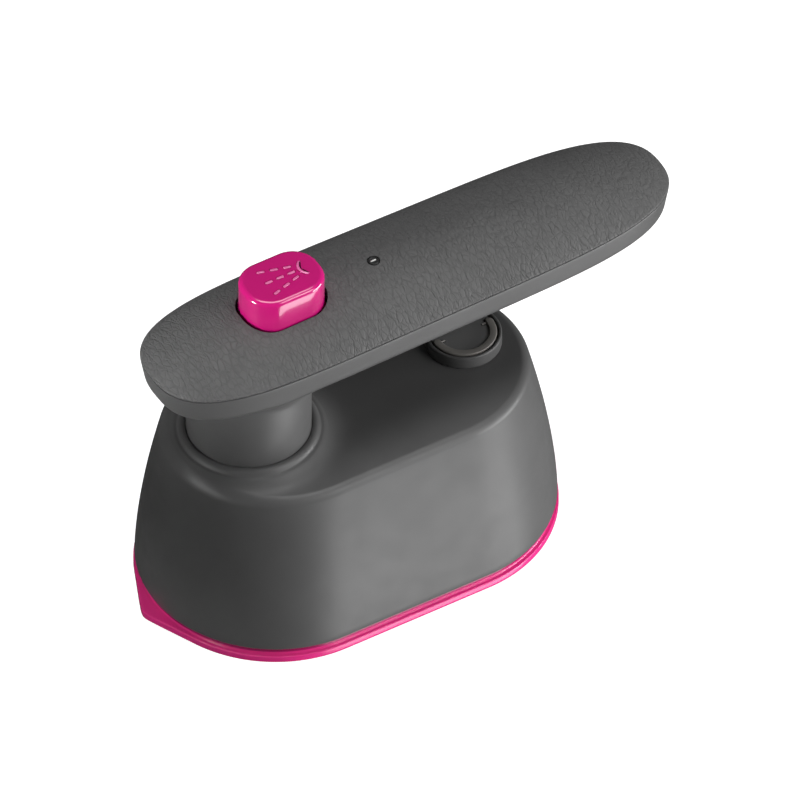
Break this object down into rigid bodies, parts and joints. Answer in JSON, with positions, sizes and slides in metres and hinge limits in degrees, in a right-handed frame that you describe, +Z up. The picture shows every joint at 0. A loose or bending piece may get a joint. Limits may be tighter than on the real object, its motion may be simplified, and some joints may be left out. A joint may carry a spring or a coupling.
{
  "type": "handheld steam iron",
  "caption": "Compact steam iron: oval body on a pointed soleplate, long flat handle swivelling on a round neck, steam button and pull-out filler cap with a flip-up bail.",
  "frame": {"origin": "bottom centre of the object's bounding box, on the ironing face", "axes": "+X to the free end of the handle, with the soleplate's point at -X; +Z up; +Y across the body"},
  "size_m": [0.16, 0.0756, 0.1072],
  "materials": {
    "body_plastic": "satin",
    "trim_plastic": "satin",
    "grip_leather": "matte",
    "sole_coating": "gloss",
    "button_plastic": "gloss",
    "black_plastic": "matte",
    "tank_plastic": "gloss",
    "rubber": "matte",
    "silicone": "satin",
    "steel": "satin",
    "aluminium": "satin",
    "ceramic": "matte",
    "board": "satin",
    "lens": "gloss"
  },
  "bodies": {
    "base": {"body_shell": "body_plastic", "filler_collar": "body_plastic", "soleplate": "sole_coating", "inner_frame": "black_plastic", "pump": "black_plastic", "water_tank": "tank_plastic", "base_harness": "rubber", "chamber_gasket": "silicone", "filler_sleeve": "silicone", "suction_tube": "silicone", "delivery_tube": "silicone", "swivel_bush": "silicone", "heating_element": "steel", "cover_screw_1": "steel", "cover_screw_2": "steel", "cover_screw_3": "steel", "cover_screw_4": "steel", "frame_screw_1": "steel", "frame_screw_2": "steel", "frame_screw_3": "steel", "shell_screw_1": "steel", "shell_screw_2": "steel", "pump_bracket": "steel", "pump_screw_1": "steel", "pump_screw_2": "steel", "fuse_clip": "steel", "chamber_cover": "aluminium", "thermostat": "ceramic", "thermal_fuse": "ceramic"},
    "handle": {"handle_lower": "body_plastic", "handle_upper": "body_plastic", "grip_pad": "grip_leather", "indicator_lens": "lens", "indicator_led": "lens", "control_board": "board", "micro_switch": "black_plastic", "button_spring": "steel", "terminal_block": "ceramic", "cord_gland": "rubber", "handle_harness": "rubber", "neck_harness": "rubber", "retaining_ring": "steel", "wave_washer": "steel", "handle_screw_1": "steel", "handle_screw_2": "steel", "handle_screw_3": "steel", "handle_screw_4": "steel"},
    "button": {"steam_button": "button_plastic", "switch_plunger": "silicone"},
    "cap": {"filler_cap": "body_plastic", "cap_seal": "silicone"},
    "bail": {"cap_bail": "trim_plastic"}
  },
  "joints": [
    {"name": "handle_swivel", "type": "hinge", "parent": "base", "child": "handle", "pos_m": [-0.0473, 0, 0.0526], "axis": [0, 0, 1], "range_deg": [0, 180]},
    {"name": "steam_press", "type": "slide", "parent": "handle", "child": "button", "axis": [0, 0, -1], "range_m": [0, 0.002], "stiffness_N_per_m": 400, "springref_m": -0.002, "deforming": ["button_spring"]},
    {"name": "cap_pull", "type": "slide", "parent": "base", "child": "cap", "axis": [0, 0, 1], "range_m": [0, 0.012]},
    {"name": "bail_flip", "type": "hinge", "parent": "cap", "child": "bail", "pos_m": [0.0191, 0, 0.0565], "axis": [-1, 0, 0], "range_deg": [0, 95]}
  ]
}
